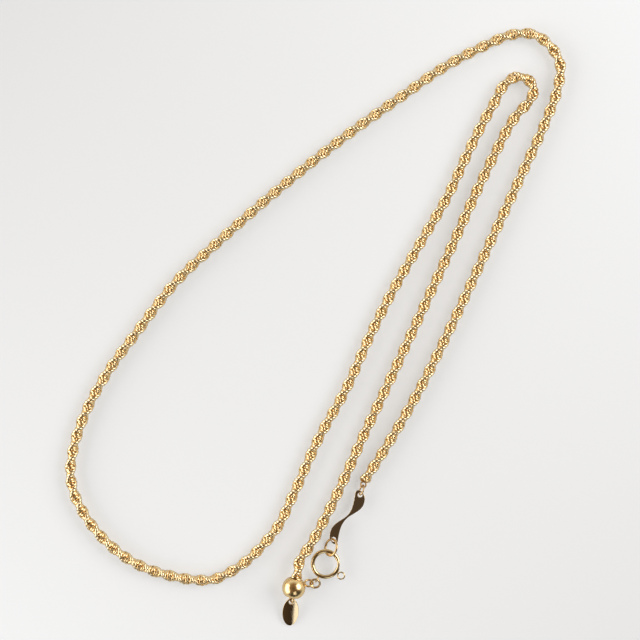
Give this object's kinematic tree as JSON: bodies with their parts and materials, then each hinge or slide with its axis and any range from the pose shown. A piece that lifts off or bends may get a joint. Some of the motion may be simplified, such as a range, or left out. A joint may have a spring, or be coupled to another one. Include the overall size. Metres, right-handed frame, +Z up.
{
  "type": "rope chain necklace",
  "caption": "Gold rope chain necklace with an S-shaped end plate, a spring ring clasp and a sliding ball with an oval end tag, lying flat in a folded loop.",
  "frame": {"origin": "on the surface that the necklace lies on, below the middle of its overall box", "axes": "+Z up from the surface, +Y along the longest extent towards the outer bend, +X to the right of the folded loop"},
  "size_m": [0.0951, 0.1137, 0.0044],
  "materials": {
    "rope_gold": "polished yellow gold wire",
    "ball_gold": "mirror polished yellow gold",
    "clasp_gold": "polished pale yellow gold",
    "ring_gold": "polished pale yellow gold",
    "plate_gold": "flat mirror polished yellow gold"
  },
  "bodies": {
    "necklace": {"chain_outer_run": "rope_gold", "chain_inner_run": "rope_gold", "chain_end_ring": "ring_gold", "plate_link": "ring_gold", "s_plate": "plate_gold", "clasp_jump_ring": "ring_gold", "spring_ring": "clasp_gold", "ball_jump_ring": "ring_gold", "slide_ball": "ball_gold", "tag_jump_ring": "ring_gold", "end_tag": "plate_gold"},
    "trigger": {"trigger": "clasp_gold"}
  },
  "joints": [
    {"name": "trigger_pull", "type": "hinge", "parent": "necklace", "child": "trigger", "pos_m": [0.00198, -0.04502, 0.00138], "axis": [0, 0, 1], "range_deg": [-43, 0], "stiffness_Nm_per_rad": 0.005}
  ]
}
